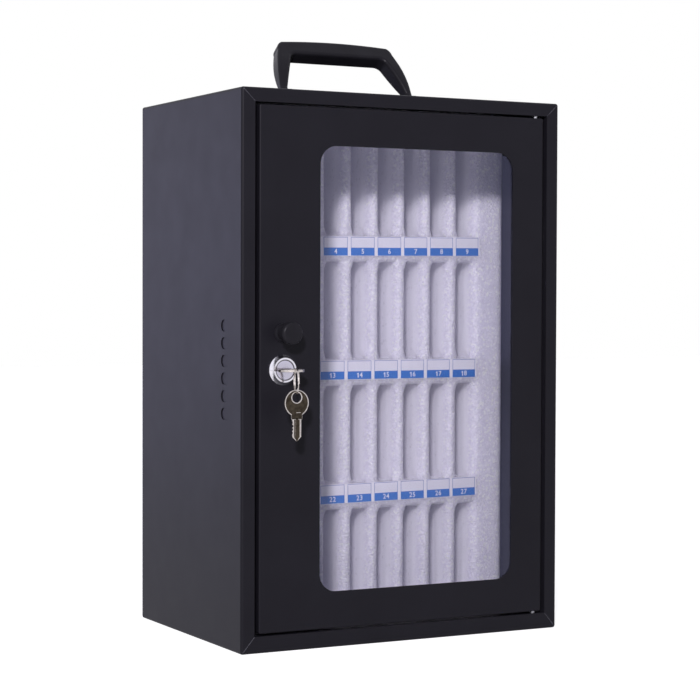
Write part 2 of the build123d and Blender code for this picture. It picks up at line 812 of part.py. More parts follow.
with BuildPart() as handle_pin_right:
    add(bracket_pin(1))

bolt_places = [
    Location((sx * bracket_screw_x, sy * bracket_screw_y, 0)) for sx in (-1, 1) for sy in (-1, 1)
]
with BuildPart() as bracket_bolts:
    bolt = pan_screw(bracket_head_r, bracket_head_h, screw_r, bracket_base_t + sheet + bolt_beyond)
    for place in bolt_places:
        add(bolt.moved(place * Location((0, 0, case_h + bracket_base_t))))

with BuildPart() as bracket_nuts:
    bolt_nut = hex_nut(bolt_nut_af, bolt_nut_h, screw_r + thread_gap)
    for place in bolt_places:
        add(bolt_nut.moved(place * Location((0, 0, case_h - sheet - bolt_nut_h))))

# ---------------------------------------------------------------- one file per piece
side_panel_left.part.label = "side_panel_left"
side_panel_right.part.label = "side_panel_right"
top_panel.part.label = "top_panel"
bottom_panel.part.label = "bottom_panel"
back_panel.part.label = "back_panel"
foam_back_pad.part.label = "foam_back_pad"
foam_bar_top.part.label = "foam_bar_top"
foam_bar_1.part.label = "foam_bar_1"
foam_bar_2.part.label = "foam_bar_2"
foam_bar_3.part.label = "foam_bar_3"
foam_bar_base.part.label = "foam_bar_base"
foam_ribs_1.part.label = "foam_ribs_1"
foam_ribs_2.part.label = "foam_ribs_2"
foam_ribs_3.part.label = "foam_ribs_3"
foam_ribs_4.part.label = "foam_ribs_4"
label_strip_1.part.label = "label_strip_1"
label_strip_2.part.label = "label_strip_2"
label_strip_3.part.label = "label_strip_3"
label_strip_4.part.label = "label_strip_4"
door_panel.part.label = "door_panel"
window_pane.part.label = "window_pane"
pane_clips.part.label = "pane_clips"
clip_studs.part.label = "clip_studs"
clip_nuts.part.label = "clip_nuts"
pivot_upper.part.label = "pivot_upper"
pivot_lower.part.label = "pivot_lower"
door_knob.part.label = "door_knob"
knob_screw.part.label = "knob_screw"
lock_housing.part.label = "lock_housing"
lock_nut.part.label = "lock_nut"
lock_plug.part.label = "lock_plug"
lock_cam.part.label = "lock_cam"
cam_screw.part.label = "cam_screw"
key_in_lock.part.label = "key_in_lock"
key_ring.part.label = "key_ring"
spare_key.part.label = "spare_key"
handle.part.label = "handle"
bracket_left.part.label = "bracket_left"
bracket_right.part.label = "bracket_right"
handle_pin_left.part.label = "handle_pin_left"
handle_pin_right.part.label = "handle_pin_right"
bracket_bolts.part.label = "bracket_bolts"
bracket_nuts.part.label = "bracket_nuts"

export_step(side_panel_left.part, "parts/side_panel_left.step")
export_step(side_panel_right.part, "parts/side_panel_right.step")
export_step(top_panel.part, "parts/top_panel.step")
export_step(bottom_panel.part, "parts/bottom_panel.step")
export_step(back_panel.part, "parts/back_panel.step")
export_step(foam_back_pad.part, "parts/foam_back_pad.step")
export_step(foam_bar_top.part, "parts/foam_bar_top.step")
export_step(foam_bar_1.part, "parts/foam_bar_1.step")
export_step(foam_bar_2.part, "parts/foam_bar_2.step")
export_step(foam_bar_3.part, "parts/foam_bar_3.step")
export_step(foam_bar_base.part, "parts/foam_bar_base.step")
export_step(foam_ribs_1.part, "parts/foam_ribs_1.step")
export_step(foam_ribs_2.part, "parts/foam_ribs_2.step")
export_step(foam_ribs_3.part, "parts/foam_ribs_3.step")
export_step(foam_ribs_4.part, "parts/foam_ribs_4.step")
export_step(label_strip_1.part, "parts/label_strip_1.step")
export_step(label_strip_2.part, "parts/label_strip_2.step")
export_step(label_strip_3.part, "parts/label_strip_3.step")
export_step(label_strip_4.part, "parts/label_strip_4.step")
export_step(door_panel.part, "parts/door_panel.step")
export_step(window_pane.part, "parts/window_pane.step")
export_step(pane_clips.part, "parts/pane_clips.step")
export_step(clip_studs.part, "parts/clip_studs.step")
export_step(clip_nuts.part, "parts/clip_nuts.step")
export_step(pivot_upper.part, "parts/pivot_upper.step")
export_step(pivot_lower.part, "parts/pivot_lower.step")
export_step(door_knob.part, "parts/door_knob.step")
export_step(knob_screw.part, "parts/knob_screw.step")
export_step(lock_housing.part, "parts/lock_housing.step")
export_step(lock_nut.part, "parts/lock_nut.step")
export_step(lock_plug.part, "parts/lock_plug.step")
export_step(lock_cam.part, "parts/lock_cam.step")
export_step(cam_screw.part, "parts/cam_screw.step")
export_step(key_in_lock.part, "parts/key_in_lock.step")
export_step(key_ring.part, "parts/key_ring.step")
export_step(spare_key.part, "parts/spare_key.step")
export_step(handle.part, "parts/handle.step")
export_step(bracket_left.part, "parts/bracket_left.step")
export_step(bracket_right.part, "parts/bracket_right.step")
export_step(handle_pin_left.part, "parts/handle_pin_left.step")
export_step(handle_pin_right.part, "parts/handle_pin_right.step")
export_step(bracket_bolts.part, "parts/bracket_bolts.step")
export_step(bracket_nuts.part, "parts/bracket_nuts.step")
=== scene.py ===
from math import cos, pi, radians, sin, sqrt

import bmesh
import bpy
from mathutils import Matrix, Vector, noise


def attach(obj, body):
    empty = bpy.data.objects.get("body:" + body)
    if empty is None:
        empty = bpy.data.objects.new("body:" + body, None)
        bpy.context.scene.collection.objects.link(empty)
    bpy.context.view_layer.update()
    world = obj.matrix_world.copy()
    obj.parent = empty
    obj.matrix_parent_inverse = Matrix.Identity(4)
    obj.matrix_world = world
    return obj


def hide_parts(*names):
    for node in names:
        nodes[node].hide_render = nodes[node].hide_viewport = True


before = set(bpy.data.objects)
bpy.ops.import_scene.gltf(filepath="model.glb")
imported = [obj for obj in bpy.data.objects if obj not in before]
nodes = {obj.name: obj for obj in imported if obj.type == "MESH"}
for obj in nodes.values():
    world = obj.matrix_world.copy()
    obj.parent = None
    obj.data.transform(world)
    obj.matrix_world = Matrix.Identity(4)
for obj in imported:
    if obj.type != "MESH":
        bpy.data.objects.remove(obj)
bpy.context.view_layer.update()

# ---------------------------------------------------------------- camera
# Stands to the left of the door and a little above the middle of the box, looking slightly
# down, with a long lens.
camera_stand = (-0.815, -1.547, 0.2857)
turn, dip, tilt = radians(27.862), radians(1.561), radians(0.18)
look = Vector((sin(turn) * cos(dip), cos(turn) * cos(dip), -sin(dip)))
flat_right = Vector((cos(turn), -sin(turn), 0))
flat_up = flat_right.cross(look)
right = flat_right * cos(tilt) + flat_up * sin(tilt)
up = flat_up * cos(tilt) - flat_right * sin(tilt)
lens = bpy.data.cameras.new("camera")
lens.lens = 103.45
lens.sensor_width = 36
lens.clip_end = 50
camera = bpy.data.objects.new("camera", lens)
bpy.context.scene.collection.objects.link(camera)
place = Matrix((right, up, -look)).transposed().to_4x4()
place.translation = camera_stand
camera.matrix_world = place
bpy.context.scene.camera = camera
bpy.context.scene.view_settings.view_transform = "Standard"


# ---------------------------------------------------------------- folded cabinet, back and door
# Mild steel sheet, folded and mitred at the front corners, then powder coated charcoal all over.
# The coat is satin with a faint orange peel and flows a little thinner in the folds.
def new_finish(name, shine=0.5, metal=0.0):
    mat = bpy.data.materials.new(name)
    mat.use_nodes = True
    skin = mat.node_tree.nodes["Principled BSDF"]
    skin.inputs["Specular IOR Level"].default_value = shine
    skin.inputs["Metallic"].default_value = metal
    return mat, mat.node_tree, skin


def grain(tree, size, detail=2.0, stretch=(1, 1, 1)):
    # Noise on object coordinates; size is the grain in metres.
    where = tree.nodes.new("ShaderNodeTexCoord")
    turned = tree.nodes.new("ShaderNodeMapping")
    turned.inputs["Scale"].default_value = stretch
    tree.links.new(where.outputs["Object"], turned.inputs["Vector"])
    tex = tree.nodes.new("ShaderNodeTexNoise")
    tex.inputs["Scale"].default_value = 1 / size
    tex.inputs["Detail"].default_value = detail
    tree.links.new(turned.outputs["Vector"], tex.inputs["Vector"])
    return tex.outputs["Fac"]


def ramp(tree, source, stops):
    node = tree.nodes.new("ShaderNodeValToRGB")
    while len(node.color_ramp.elements) < len(stops):
        node.color_ramp.elements.new(0.5)
    for element, (spot, colour) in zip(node.color_ramp.elements, stops):
        element.position = spot
        element.color = (*colour, 1)
    tree.links.new(source, node.inputs["Fac"])
    return node.outputs["Color"]


def spread(tree, source, low, high):
    node = tree.nodes.new("ShaderNodeMapRange")
    node.inputs["To Min"].default_value = low
    node.inputs["To Max"].default_value = high
    tree.links.new(source, node.inputs["Value"])
    return node.outputs["Result"]


def tone(tree, skin, size, dark, light, detail=2.0, spots=(0.3, 0.7)):
    # The colour wavers between two tones, in patches of the given size.
    skin.inputs["Base Color"].default_value = (*light, 1)
    colour = ramp(tree, grain(tree, size, detail), [(spots[0], dark), (spots[1], light)])
    tree.links.new(colour, skin.inputs["Base Color"])


def polish(tree, skin, size, low, high, detail=3, stretch=(1, 1, 1)):
    # The roughness wavers between two values, in patches of the given size.
    skin.inputs["Roughness"].default_value = (low + high) / 2
    level = spread(tree, grain(tree, size, detail, stretch), low, high)
    tree.links.new(level, skin.inputs["Roughness"])


def bump(tree, skin, source, height, strength=1.0):
    node = tree.nodes.new("ShaderNodeBump")
    node.inputs["Distance"].default_value = height
    node.inputs["Strength"].default_value = strength
    tree.links.new(source, node.inputs["Height"])
    tree.links.new(node.outputs["Normal"], skin.inputs["Normal"])


def dress(mat, *names):
    for name in names:
        for slot in nodes[name].material_slots:
            slot.material = mat


coat, tree, skin = new_finish("powder_coat_charcoal", 0.11)
tone(tree, skin, 0.05, (0.0105, 0.01, 0.0135), (0.0125, 0.012, 0.016))
polish(tree, skin, 0.02, 0.38, 0.46)
orange_peel = 0.0016
bump(tree, skin, grain(tree, orange_peel), 0.00002, 0.5)
dress(
    coat,
    "side_panel_left",
    "side_panel_right",
    "top_panel",
    "bottom_panel",
    "back_panel",
    "door_panel",
)

# ---------------------------------------------------------------- mitre seams
# Where the front lips of two panels meet, a fine welded and painted seam runs from the outer
# corner to the corner of the door's opening. Its coat is worn thin along the ridge.
front_y = -0.104
seam_half_w, seam_h, seam_foot = 0.0004, 0.00025, 0.0001
seam_steps = 12
seam_ends = [
    (0.1476, 0.1374, 0.4487, 0.4388),
    (-0.1476, -0.1374, 0.4487, 0.4388),
    (0.1476, 0.1374, 0.0015, 0.0134),
    (-0.1476, -0.1374, 0.0015, 0.0134),
]
bm = bmesh.new()
for out_x, in_x, out_z, in_z in seam_ends:
    start, stop = Vector((out_x, front_y, out_z)), Vector((in_x, front_y, in_z))
    across = (stop - start).normalized().cross(Vector((0, 1, 0))) * seam_half_w
    rings = []
    for k in range(seam_steps + 1):
        mid = start.lerp(stop, k / seam_steps)
        tall = seam_h * min(1.0, 0.25 + min(k, seam_steps - k) * 0.5)
        ridge = [(-1, seam_foot), (-0.6, -tall * 0.7), (0, -tall), (0.6, -tall * 0.7), (1, seam_foot)]
        rings.append(
            [bm.verts.new(mid + across * side + Vector((0, deep, 0))) for side, deep in ridge]
        )
    for a, b in zip(rings, rings[1:]):
        for k in range(5):
            n = (k + 1) % 5
            bm.faces.new([a[k], a[n], b[n], b[k]])
    bm.faces.new(rings[0])
    bm.faces.new(rings[-1])
bmesh.ops.recalc_face_normals(bm, faces=bm.faces)
mesh = bpy.data.meshes.new("mitre_seams")
bm.to_mesh(mesh)
bm.free()
seams = bpy.data.objects.new("mitre_seams", mesh)
bpy.context.scene.collection.objects.link(seams)
worn, tree, skin = new_finish("worn_seam_coat", 0.25)
skin.inputs["Roughness"].default_value = 0.35
tone(tree, skin, 0.0015, (0.02, 0.02, 0.026), (0.085, 0.085, 0.1), 3, (0.35, 0.65))
mesh.materials.append(worn)
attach(seams, "cabinet")

# ---------------------------------------------------------------- foam insert
# One block of white closed-cell foam fills the cabinet from wall to wall. Thirty-six upright
# slots are cut into its face in four rows of nine; the cut edges are soft and rounded.
foam_front = -0.0195
slot_back = 0.0685
foam_back = 0.1025
foam_half_w = 0.1475
foam_bottom, foam_top = 0.0015, 0.4398
slot_w, slot_h = 0.0125, 0.08375
columns, slot_pitch = 9, 0.0262
slots_mid_x = 0.0039
slot_first = slots_mid_x - (columns - 1) / 2 * slot_pitch
floors = [0.01725, 0.124, 0.23075, 0.3375]
edge_round = (0.0067, 0.0046)
edge_drop = 0.0042
side_drop = 0.0165
side_ease = 0.008
grid_step = 0.0036
slot_steps_x, slot_steps_z = 4, 22
tunnel_steps = (0.04, 0.1, 0.19, 0.32, 0.5, 0.72, 1.0)
tunnel_swell = 0.0004
back_inset = 0.0017
hair = 1e-7


def soft_steps(low, high, step, soft):
    # Grid lines across one stretch, closer together at its two ends.
    near = [s * soft for s in (0.025, 0.09, 0.19, 0.33, 0.52, 0.75, 1.0)]
    near = [s for s in near if s < (high - low) / 2 - soft * 0.1]
    first, last = low + near[-1], high - near[-1]
    count = max(1, round((last - first) / step))
    middle = [first + (last - first) * k / count for k in range(count + 1)]
    return [low] + [low + s for s in near[:-1]] + middle + [high - s for s in near[-2::-1]] + [high]


def join_steps(stretches):
    out = []
    for steps in stretches:
        out += steps[1:] if out else steps
    return out


slots_x = [slot_first + c * slot_pitch for c in range(columns)]
stretches, left = [], -foam_half_w
for mid in slots_x:
    stretches.append(soft_steps(left, mid - slot_w / 2, grid_step, edge_round[0]))
    stretches.append([mid - slot_w / 2 + slot_w * k / slot_steps_x for k in range(slot_steps_x + 1)])
    left = mid + slot_w / 2
stretches.append(soft_steps(left, foam_half_w, grid_step, edge_round[0]))
xs = join_steps(stretches)
stretches, low = [], foam_bottom
for floor in floors:
    stretches.append(soft_steps(low, floor, grid_step, edge_round[1]))
    stretches.append([floor + slot_h * k / slot_steps_z for k in range(slot_steps_z + 1)])
    low = floor + slot_h
stretches.append(soft_steps(low, foam_top, grid_step, edge_round[1]))
zs = join_steps(stretches)
slot_lefts = [mid - slot_w / 2 for mid in slots_x]


def in_slot(x, z):
    within_x = any(start + hair < x < start + slot_w - hair for start in slot_lefts)
    return within_x and any(start + hair < z < start + slot_h - hair for start in floors)


def outside(value, lows, size):
    # Distance to the nearest slot along one axis, zero inside it.
    return min(max(start - value, value - start - size, 0) for start in lows)


def face_y(x, z):
    # The ribs round off deeply towards the slots beside them and less at the slots' two ends.
    across = outside(x, slot_lefts, slot_w) / edge_round[0]
    along = outside(z, floors, slot_h) / edge_round[1]
    near = sqrt(across**2 + along**2)
    inward = max(min(z - start, start + slot_h - z) for start in floors)
    ease = max(0.0, min(1.0, inward / side_ease))
    drop = edge_drop + (side_drop - edge_drop) * ease * ease * (3 - 2 * ease)
    sunk = drop * (1 - sqrt(1 - (1 - min(near, 1.0)) ** 2))
    edge = min(
        (foam_half_w - abs(x)) / edge_round[0],
        (foam_top - z) / edge_round[1],
        (z - foam_bottom) / edge_round[1],
    )
    edge = max(0.0, min(edge, 1.0))
    sunk = max(sunk, edge_drop * (1 - sqrt(1 - (1 - edge) ** 2)))
    lump = noise.noise(Vector((x * 70, z * 55, 3.1))) * 0.5 + 0.5
    fine = noise.noise(Vector((x * 260, z * 260, 7.7))) * 0.5 + 0.5
    return foam_front + sunk + 0.0005 * lump + 0.0003 * fine


bm = bmesh.new()
face = {}
for i, x in enumerate(xs):
    for j, z in enumerate(zs):
        if not in_slot(x, z):
            face[i, j] = bm.verts.new((x, face_y(x, z), z))
for i in range(len(xs) - 1):
    for j in range(len(zs) - 1):
        mid_x, mid_z = (xs[i] + xs[i + 1]) / 2, (zs[j] + zs[j + 1]) / 2
        if not in_slot(mid_x, mid_z):
            corners = ((i, j), (i + 1, j), (i + 1, j + 1), (i, j + 1))
            bm.faces.new([face[key] for key in corners])
for x0 in slot_lefts:
    for z0 in floors:
        cols = [i for i, x in enumerate(xs) if x0 - hair <= x <= x0 + slot_w + hair]
        rows = [j for j, z in enumerate(zs) if z0 - hair <= z <= z0 + slot_h + hair]
        loop = (
            [(i, rows[0]) for i in cols[:-1]]
            + [(cols[-1], j) for j in rows[:-1]]
            + [(i, rows[-1]) for i in cols[:0:-1]]
            + [(cols[0], j) for j in rows[:0:-1]]
        )
        ring = [face[key] for key in loop]
        middle = Vector((x0 + slot_w / 2, 0, z0 + slot_h / 2))
        for share in tunnel_steps:
            inner = []
            for key in loop:
                x, z, lip = xs[key[0]], zs[key[1]], face[key].co.y
                swell = tunnel_swell * (noise.noise(Vector((x * 90, share * 5, z * 70))) + 1)
                side = 1 if x > middle.x + slot_w * 0.45 else -1 if x < middle.x - slot_w * 0.45 else 0
                shift = 0 if share == 1 else side * swell
                inner.append(bm.verts.new((x + shift, lip + (slot_back - lip) * share, z)))
            for k in range(len(ring)):
                n = (k + 1) % len(ring)
                bm.faces.new([ring[k], ring[n], inner[n], inner[k]])
            ring = inner
        floor_grid = {key: vert for key, vert in zip(loop, ring)}
        for i in cols:
            for j in rows:
                if (i, j) not in floor_grid:
                    floor_grid[i, j] = bm.verts.new((xs[i], slot_back, zs[j]))
        for i in cols[:-1]:
            for j in rows[:-1]:
                corners = ((i, j), (i + 1, j), (i + 1, j + 1), (i, j + 1))
                bm.faces.new([floor_grid[key] for key in corners])
last_i, last_j = len(xs) - 1, len(zs) - 1
rim = (
    [(i, 0) for i in range(last_i)]
    + [(last_i, j) for j in range(last_j)]
    + [(i, last_j) for i in range(last_i, 0, -1)]
    + [(0, j) for j in range(last_j, 0, -1)]
)
ring = [face[key] for key in rim]
for y, inset in (
    (0.006, 0),
    (0.04, 0),
    (slot_back, 0),
    (slot_back + 0.0004, back_inset),
    (foam_back, back_inset),
):
    inner = []
    for i, j in rim:
        x = max(-foam_half_w + inset, min(foam_half_w - inset, xs[i]))
        z = max(foam_bottom + inset, zs[j])
        inner.append(bm.verts.new((x, y, z)))
    for k in range(len(ring)):
        n = (k + 1) % len(ring)
        bm.faces.new([ring[k], ring[n], inner[n], inner[k]])
    ring = inner
bm.faces.new(ring)
bmesh.ops.recalc_face_normals(bm, faces=bm.faces)
mesh = bpy.data.meshes.new("foam_insert")
bm.to_mesh(mesh)
bm.free()
mesh.shade_smooth()
mesh.set_sharp_from_angle(angle=radians(70))
foam = bpy.data.objects.new("foam_insert", mesh)
bpy.context.scene.collection.objects.link(foam)

foam_white = (0.95, 0.93, 0.995, 1)
cells, tree, skin = new_finish("white_cell_foam")
skin.inputs["Base Color"].default_value = foam_white
skin.inputs["Subsurface Weight"].default_value = 0.85
skin.inputs["Subsurface Radius"].default_value = (1.0, 1.0, 1.0)
skin.inputs["Subsurface Scale"].default_value = 0.016
# The outer face shows its beads in varied tones, and the brightest beads are painted pure white as
# painted glints; the cut walls of the slots are smooth.
beads_per_metre = 540
where = tree.nodes.new("ShaderNodeTexCoord")
cell = tree.nodes.new("ShaderNodeTexVoronoi")
cell.inputs["Scale"].default_value = beads_per_metre
tree.links.new(where.outputs["Object"], cell.inputs["Vector"])
parts = tree.nodes.new("ShaderNodeSeparateXYZ")
tree.links.new(where.outputs["Object"], parts.inputs["Vector"])
outer = tree.nodes.new("ShaderNodeMapRange")
outer.inputs["From Min"].default_value = foam_front + 0.012
outer.inputs["From Max"].default_value = foam_front + 0.005
tree.links.new(parts.outputs["Y"], outer.inputs["Value"])
# Bead tones vary at random; the pure white top of the ramp is painted glints, not the foam's own
# colour.
beads_and_glints = ramp(
    tree,
    cell.outputs["Color"],
    [(0.0, (0.74, 0.72, 0.82)), (0.7, (0.88, 0.86, 0.95)), (0.82, (1.0, 1.0, 1.0))],
)
mix = tree.nodes.new("ShaderNodeMix")
mix.data_type = "RGBA"
mix.inputs["A"].default_value = foam_white
tree.links.new(beads_and_glints, mix.inputs["B"])
tree.links.new(outer.outputs["Result"], mix.inputs["Factor"])
tree.links.new(mix.outputs["Result"], skin.inputs["Base Color"])
tree.links.new(spread(tree, cell.outputs["Color"], 0.6, 0.22), skin.inputs["Roughness"])
height = tree.nodes.new("ShaderNodeMath")
height.operation = "MULTIPLY"
tree.links.new(cell.outputs["Distance"], height.inputs[0])
tree.links.new(outer.outputs["Result"], height.inputs[1])
bump(tree, skin, height.outputs["Value"], 0.0011, 0.8)
foam.data.materials.append(cells)
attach(foam, "cabinet")
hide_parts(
    "foam_back_pad",
    "foam_bar_top",
    "foam_bar_1",
    "foam_bar_2",
    "foam_bar_3",
    "foam_bar_base",
    "foam_ribs_1",
    "foam_ribs_2",
    "foam_ribs_3",
    "foam_ribs_4",
)

# ---------------------------------------------------------------- number strips
# A printed self-adhesive strip is stuck under each row of slots. Each slot has a white box with
# a thin outline over a blue band with its number; the boxes are a little apart.
strip_half_w = columns * slot_pitch / 2
strip_face = -0.01985
strip_end = 0.0002
strip_corner = 0.0012
top_inset = 0.0006
box_w = 0.0231
line_w = 0.0004
box_top_gap = 0.0005
box_h = 0.0091
band_h = 0.0068
print_t = 0.00004
strip_tops = [floor - 0.0007 for floor in floors]
strip_lows = [top - 0.0173 for top in strip_tops]
strip_lows[0] = foam_bottom + 0.0007
band_floor = strip_lows[0] + 0.0004
box_tops = [top - top_inset - box_top_gap for top in strip_tops]
# Sideways and upward shift in metres and lean in degrees of each strip, from the lowest up.
strip_set = [(0.0, 0.0, 0.0), (-0.0019, 0.001, 0.61), (-0.0023, 0.0004, 0.0), (0.0005, 0.0, 0.54)]
strip_seats = []
for row in range(4):
    across, lift, lean = strip_set[row]
    mid = Vector((slots_mid_x, 0, (strip_tops[row] + strip_lows[row]) / 2))
    strip_seats.append(
        Matrix.Translation(mid + Vector((across, 0, lift)))
        @ Matrix.Rotation(radians(-lean), 4, "Y")
        @ Matrix.Translation(-mid)
    )


def seat_rows(mesh):
    # Each strip was stuck on by hand, a little beside its slots and not quite level.
    for vert in mesh.vertices:
        row = min(range(4), key=lambda k: abs(vert.co.z - (strip_tops[k] + strip_lows[k]) / 2))
        vert.co = strip_seats[row] @ vert.co


def slab(bm, x0, x1, y0, y1, z0, z1):
    made = bmesh.ops.create_cube(bm, size=1)["verts"]
    bmesh.ops.scale(bm, vec=(x1 - x0, y1 - y0, z1 - z0), verts=made)
    bmesh.ops.translate(bm, vec=((x0 + x1) / 2, (y0 + y1) / 2, (z0 + z1) / 2), verts=made)
    return made


def piece(name, bm, *mats):
    bmesh.ops.recalc_face_normals(bm, faces=bm.faces)
    mesh = bpy.data.meshes.new(name)
    bm.to_mesh(mesh)
    bm.free()
    obj = bpy.data.objects.new(name, mesh)
    bpy.context.scene.collection.objects.link(obj)
    for mat in mats:
        mesh.materials.append(mat)
    return obj


film, tree, skin = new_finish("white_film", 0.4)
tone(tree, skin, 0.03, (0.93, 0.92, 0.97), (0.96, 0.95, 0.99))
polish(tree, skin, 0.004, 0.36, 0.46, 2)
for row in range(4):
    bm = bmesh.new()
    made = slab(
        bm,
        slots_mid_x - strip_half_w + strip_end,
        slots_mid_x + strip_half_w - strip_end,
        strip_face,
        foam_front,
        strip_lows[row],
        strip_tops[row] - top_inset,
    )
    corners = [e for e in bm.edges if abs(e.verts[0].co.y - e.verts[1].co.y) > 1e-5]
    bmesh.ops.bevel(bm, geom=corners, offset=strip_corner, segments=4, affect="EDGES")
    strip = piece(f"number_strip_{4 - row}", bm, film)
    seat_rows(strip.data)
    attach(strip, "cabinet")
    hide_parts(f"label_strip_{4 - row}")


def new_ink(name, size, dark, light, rough=0.45):
    mat, tree, skin = new_finish(name, 0.4)
    skin.inputs["Roughness"].default_value = rough
    tone(tree, skin, size, dark, light)
    return mat


ink_blue = new_ink("blue_ink", 0.02, (0.03, 0.18, 0.58), (0.04, 0.2, 0.63), 0.4)
ink_box = new_ink("box_tint", 0.01, (0.87, 0.86, 0.92), (0.9, 0.89, 0.95))
ink_line = new_ink("line_ink", 0.01, (0.10, 0.14, 0.42), (0.14, 0.19, 0.48))
ink_white = new_ink("white_ink", 0.01, (0.88, 0.88, 0.94), (0.92, 0.92, 0.97))


def repeat_tree(name, mat):
    # Repeats the piece's own mesh along X at the slots' pitch.
    group = bpy.data.node_groups.new(name, "GeometryNodeTree")
    group.interface.new_socket("Geometry", in_out="INPUT", socket_type="NodeSocketGeometry")
    count = group.interface.new_socket("Columns", in_out="INPUT", socket_type="NodeSocketInt")
    pitch = group.interface.new_socket("Pitch", in_out="INPUT", socket_type="NodeSocketFloat")
    group.interface.new_socket("Geometry", in_out="OUTPUT", socket_type="NodeSocketGeometry")
    start = group.nodes.new("NodeGroupInput")
    end = group.nodes.new("NodeGroupOutput")
    row = group.nodes.new("GeometryNodeMeshLine")
    step = group.nodes.new("ShaderNodeCombineXYZ")
    copies = group.nodes.new("GeometryNodeInstanceOnPoints")
    real = group.nodes.new("GeometryNodeRealizeInstances")
    paint = group.nodes.new("GeometryNodeSetMaterial")
    paint.inputs["Material"].default_value = mat
    link = group.links.new
    link(start.outputs["Columns"], row.inputs["Count"])
    link(start.outputs["Pitch"], step.inputs["X"])
    link(step.outputs["Vector"], row.inputs["Offset"])
    link(row.outputs["Mesh"], copies.inputs["Points"])
    link(start.outputs["Geometry"], copies.inputs["Instance"])
    link(copies.outputs["Instances"], real.inputs["Geometry"])
    link(real.outputs["Geometry"], paint.inputs["Geometry"])
    link(paint.outputs["Geometry"], end.inputs["Geometry"])
    return group, {"Columns": count.identifier, "Pitch": pitch.identifier}


def settle(obj, mat):
    # Turns the evaluated result into the piece's plain mesh and drops the modifier.
    graph = bpy.context.evaluated_depsgraph_get()
    done = bpy.data.meshes.new_from_object(obj.evaluated_get(graph))
    obj.modifiers.clear()
    old = obj.data
    obj.data = done
    done.name = obj.name
    bpy.data.meshes.remove(old)
    done.materials.clear()
    done.materials.append(mat)
    for poly in done.polygons:
        poly.material_index = 0


def printed(name, mat, draw):
    bm = bmesh.new()
    for top in box_tops:
        draw(bm, slots_x[0] - box_w / 2, top)
    obj = piece(name, bm)
    group, sockets = repeat_tree(name + "_row", mat)
    mod = obj.modifiers.new("row", "NODES")
    mod.node_group = group
    mod[sockets["Columns"]] = columns
    mod[sockets["Pitch"]] = slot_pitch
    settle(obj, mat)
    seat_rows(obj.data)
    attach(obj, "cabinet")


def draw_outline(bm, x, top):
    low = top - box_h
    front, back = strip_face - print_t, strip_face
    slab(bm, x, x + line_w, front, back, low, top)
    slab(bm, x + box_w - line_w, x + box_w, front, back, low, top)
    slab(bm, x + line_w, x + box_w - line_w, front, back, top - line_w, top)


def draw_fill(bm, x, top):
    front, back = strip_face - print_t, strip_face
    slab(bm, x + line_w, x + box_w - line_w, front, back, top - box_h, top - line_w)


def draw_band(bm, x, top):
    high = top - box_h
    low = max(high - band_h, band_floor)
    slab(bm, x, x + box_w, strip_face - print_t, strip_face, low, high)


printed("box_outlines", ink_line, draw_outline)
printed("box_fills", ink_box, draw_fill)
printed("number_bands", ink_blue, draw_band)

# One flat mesh for each digit; the one is a bare stem with a short flag.
digit_h, digit_step = 0.0042, 0.0033
digit_meshes = {}
for digit in "023456789":
    text = bpy.data.curves.new("digit", "FONT")
    text.body = digit
    text.size = digit_h / 0.7
    text.offset = 0.00008
    text.extrude = print_t / 2
    text.resolution_u = 3
    text.align_x = "CENTER"
    text.align_y = "CENTER"
    holder = bpy.data.objects.new("digit", text)
    bpy.context.scene.collection.objects.link(holder)
    digit_meshes[digit] = bpy.data.meshes.new_from_object(
        holder.evaluated_get(bpy.context.evaluated_depsgraph_get())
    )
    bpy.data.objects.remove(holder)
    bpy.data.curves.remove(text)
one = bmesh.new()
half = digit_h / 2
outline = [(-0.0001, -half), (0.0008, -half), (0.0008, half), (0.0002, half), (-0.0009, half - 0.0008)]
outline += [(-0.0009, half - 0.0016), (-0.0001, half - 0.001)]
low = [one.verts.new((x, y, -print_t / 2)) for x, y in outline]
high = [one.verts.new((x, y, print_t / 2)) for x, y in outline]
one.faces.new(low[::-1])
one.faces.new(high)
for k in range(len(outline)):
    n = (k + 1) % len(outline)
    one.faces.new([low[k], low[n], high[n], high[k]])
digit_meshes["1"] = bpy.data.meshes.new("one")
one.to_mesh(digit_meshes["1"])
one.free()

bm = bmesh.new()
for row in range(4):
    for column in range(columns):
        number = str((3 - row) * columns + column + 1)
        mid_z = max(box_tops[row] - box_h - band_h / 2, band_floor + digit_h / 2 + 0.0003)
        for k, digit in enumerate(number):
            x = slots_x[column] + (k - (len(number) - 1) / 2) * digit_step
            spot = Matrix.Translation((x, strip_face - 1.6 * print_t, mid_z))
            flat = digit_meshes[digit].copy()
            flat.transform(spot @ Matrix.Rotation(radians(90), 4, "X"))
            bm.from_mesh(flat)
            bpy.data.meshes.remove(flat)
bmesh.ops.remove_doubles(bm, verts=bm.verts, dist=1e-6)
digits = piece("slot_numbers", bm, ink_white)
seat_rows(digits.data)
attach(digits, "cabinet")

# ---------------------------------------------------------------- window pane
# A flat sheet of clear acrylic behind the door's opening, held by six plated clips on welded
# studs. It shows a faint sheen over what is behind it, tinted blue as a painted reflection.
pane = bpy.data.materials.new("clear_acrylic")
pane.use_nodes = True
tree = pane.node_tree
tree.nodes.remove(tree.nodes["Principled BSDF"])
clear = tree.nodes.new("ShaderNodeBsdfTransparent")
clear.inputs["Color"].default_value = (0.97, 0.97, 0.985, 1)
gloss = tree.nodes.new("ShaderNodeBsdfGlossy")
# Tinted blue: a painted reflection of bluish surroundings, since the world it reflects is white.
gloss.inputs["Color"].default_value = (0.6, 0.62, 1.0, 1)
gloss.inputs["Roughness"].default_value = 0.06
edge_on = tree.nodes.new("ShaderNodeFresnel")
edge_on.inputs["IOR"].default_value = 1.68
